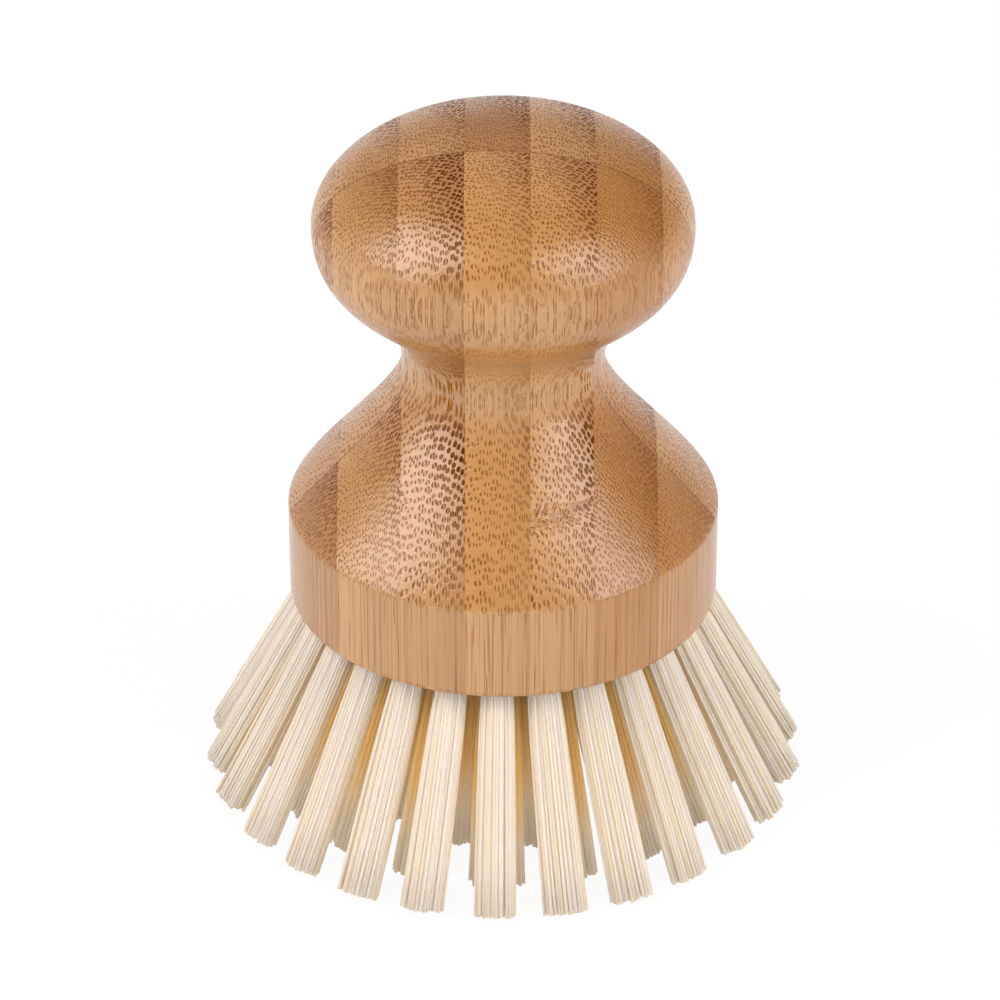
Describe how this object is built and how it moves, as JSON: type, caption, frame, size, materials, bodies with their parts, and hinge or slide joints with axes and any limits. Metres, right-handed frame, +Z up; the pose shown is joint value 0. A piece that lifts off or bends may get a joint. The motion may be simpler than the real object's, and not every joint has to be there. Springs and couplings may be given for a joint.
{
  "type": "pot brush",
  "caption": "Palm-held pot brush: a turned bamboo knob handle with rings of splayed stiff bristle tufts set in its flat underside.",
  "frame": {"origin": "centre of the circle that the bristle tips stand on", "axes": "+Z up along the turning axis to the crown of the knob; -Y is the side that faces the picture's camera"},
  "size_m": [0.0742, 0.0744, 0.0871],
  "materials": {
    "bamboo": "turned and oiled, semi-gloss",
    "bristle": "stiff cream filament, satin"
  },
  "bodies": {
    "root": {"centre_tuft_01": "bristle", "centre_tuft_02": "bristle", "centre_tuft_03": "bristle", "centre_tuft_04": "bristle", "handle": "bamboo", "outer_tuft_01": "bristle", "outer_tuft_02": "bristle", "outer_tuft_03": "bristle", "outer_tuft_04": "bristle", "outer_tuft_05": "bristle", "outer_tuft_06": "bristle", "outer_tuft_07": "bristle", "outer_tuft_08": "bristle", "outer_tuft_09": "bristle", "outer_tuft_10": "bristle", "outer_tuft_11": "bristle", "outer_tuft_12": "bristle", "outer_tuft_13": "bristle", "outer_tuft_14": "bristle", "outer_tuft_15": "bristle", "outer_tuft_16": "bristle", "outer_tuft_17": "bristle", "outer_tuft_18": "bristle", "outer_tuft_19": "bristle", "outer_tuft_20": "bristle", "outer_tuft_21": "bristle", "outer_tuft_22": "bristle", "outer_tuft_23": "bristle", "outer_tuft_24": "bristle", "outer_tuft_25": "bristle", "outer_tuft_26": "bristle", "second_tuft_01": "bristle", "second_tuft_02": "bristle", "second_tuft_03": "bristle", "second_tuft_04": "bristle", "second_tuft_05": "bristle", "second_tuft_06": "bristle", "second_tuft_07": "bristle", "second_tuft_08": "bristle", "second_tuft_09": "bristle", "second_tuft_10": "bristle", "second_tuft_11": "bristle", "second_tuft_12": "bristle", "second_tuft_13": "bristle", "second_tuft_14": "bristle", "second_tuft_15": "bristle", "second_tuft_16": "bristle", "second_tuft_17": "bristle", "second_tuft_18": "bristle", "third_tuft_01": "bristle", "third_tuft_02": "bristle", "third_tuft_03": "bristle", "third_tuft_04": "bristle", "third_tuft_05": "bristle", "third_tuft_06": "bristle", "third_tuft_07": "bristle", "third_tuft_08": "bristle", "third_tuft_09": "bristle", "third_tuft_10": "bristle", "third_tuft_11": "bristle"}
  },
  "joints": []
}
